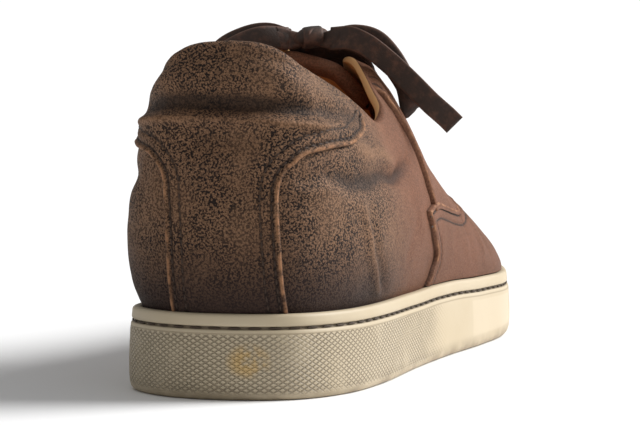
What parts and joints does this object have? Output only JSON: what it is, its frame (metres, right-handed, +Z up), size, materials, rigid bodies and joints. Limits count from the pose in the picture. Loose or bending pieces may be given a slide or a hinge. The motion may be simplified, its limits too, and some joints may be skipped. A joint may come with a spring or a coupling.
{
  "type": "worn low-top sneaker",
  "caption": "Worn low lace-up sneaker for the right foot: hollow leather upper with stitched overlays, padded collar, tongue, flat lace bow and moulded rubber cup sole.",
  "frame": {"origin": "middle of the shoe's footprint, on the floor", "axes": "+Y from heel to toe, +X towards the outer side of the right foot, +Z up"},
  "size_m": [0.1018, 0.2974, 0.114],
  "materials": {
    "leather": "distressed, crackled and dull",
    "panel_leather": "distressed, crackled and dull",
    "lining": "plain tan lining leather",
    "rubber": "cream, fine diamond knurl, yellowed and dirty",
    "lace": "flat oiled lace, dark and matt"
  },
  "bodies": {
    "root": {"cupsole": "rubber", "insole": "lining", "upper": "leather", "heel_panel": "panel_leather", "vamp_panel": "panel_leather", "facing_outer": "panel_leather", "facing_inner": "panel_leather", "tongue": "leather", "lace_bars": "lace", "lace_knot": "lace", "lace_loop_outer": "lace", "lace_end_outer": "lace", "lace_loop_inner": "lace", "lace_end_inner": "lace"}
  },
  "joints": []
}
